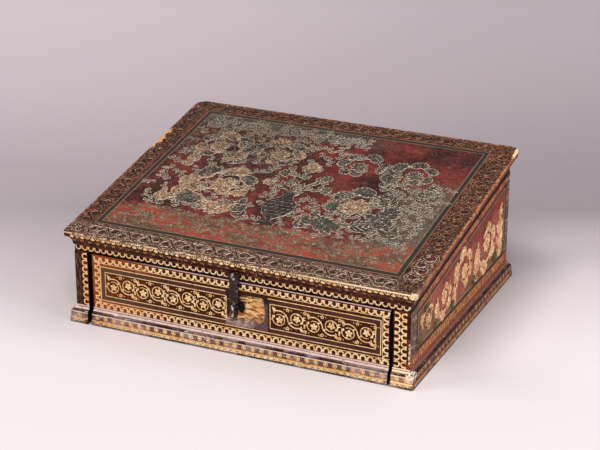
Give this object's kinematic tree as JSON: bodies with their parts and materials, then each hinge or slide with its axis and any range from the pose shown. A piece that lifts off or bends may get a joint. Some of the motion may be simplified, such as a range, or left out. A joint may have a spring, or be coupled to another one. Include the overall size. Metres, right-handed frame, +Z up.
{
  "type": "letter writing box with drawer",
  "caption": "Writing box in gilt and painted tooled leather over wood, with a sloping hinged lid, a full-width front drawer and an iron hasp.",
  "frame": {"origin": "the middle of the box's plan, on the surface that it stands on", "axes": "+X to the right along the drawer front, +Y from the drawer front to the hinges, +Z up"},
  "size_m": [0.418, 0.3326, 0.16],
  "materials": {
    "walnut": "old planed walnut, waxed",
    "tooled_leather": "dark red tooled leather, painted and gilt, worn",
    "gilt_moulding": "leather-covered wooden moulding, plum red with gold bands",
    "lining_paper": "old laid paper",
    "wrought_iron": "hammered iron, dark and rubbed"
  },
  "bodies": {
    "case": {"left_side_board": "walnut", "right_side_board": "walnut", "back_board": "walnut", "front_rail": "walnut", "bottom_board": "walnut", "compartment_floor": "walnut", "compartment_lining": "lining_paper", "left_side_leather": "tooled_leather", "right_side_leather": "tooled_leather", "left_pilaster_leather": "tooled_leather", "right_pilaster_leather": "tooled_leather", "back_leather": "tooled_leather", "left_base_moulding": "gilt_moulding", "right_base_moulding": "gilt_moulding", "back_base_moulding": "gilt_moulding", "left_pilaster_base": "gilt_moulding", "right_pilaster_base": "gilt_moulding", "left_hinge_case_leaf": "wrought_iron", "right_hinge_case_leaf": "wrought_iron", "left_hinge_pin": "wrought_iron", "right_hinge_pin": "wrought_iron", "hinge_case_nails": "wrought_iron"},
    "drawer": {"drawer_front": "walnut", "drawer_front_leather": "tooled_leather", "drawer_base_moulding": "gilt_moulding", "drawer_left_side": "walnut", "drawer_right_side": "walnut", "drawer_back": "walnut", "drawer_bottom": "walnut", "drawer_lining": "lining_paper"},
    "lid": {"lid_front_moulding": "gilt_moulding", "lid_back_moulding": "gilt_moulding", "lid_left_moulding": "gilt_moulding", "lid_right_moulding": "gilt_moulding", "lid_board": "walnut", "lid_cover_leather": "tooled_leather", "lid_lining": "lining_paper", "left_hinge_lid_leaf": "wrought_iron", "right_hinge_lid_leaf": "wrought_iron", "hinge_lid_nails": "wrought_iron", "hasp_eye": "wrought_iron", "hasp_pin": "wrought_iron"},
    "hasp": {"hasp": "wrought_iron"}
  },
  "joints": [
    {"name": "drawer_slide", "type": "slide", "parent": "case", "child": "drawer", "axis": [0, -1, 0], "range_m": [0, 0.2]},
    {"name": "lid_hinge", "type": "hinge", "parent": "case", "child": "lid", "pos_m": [0, 0.16045, 0.1331], "axis": [-1, 0, 0], "range_deg": [0, 110]},
    {"name": "hasp_hinge", "type": "hinge", "parent": "lid", "child": "hasp", "pos_m": [-0.0013, -0.16165, 0.0927], "axis": [-1, 0, 0], "range_deg": [0, 140]}
  ]
}
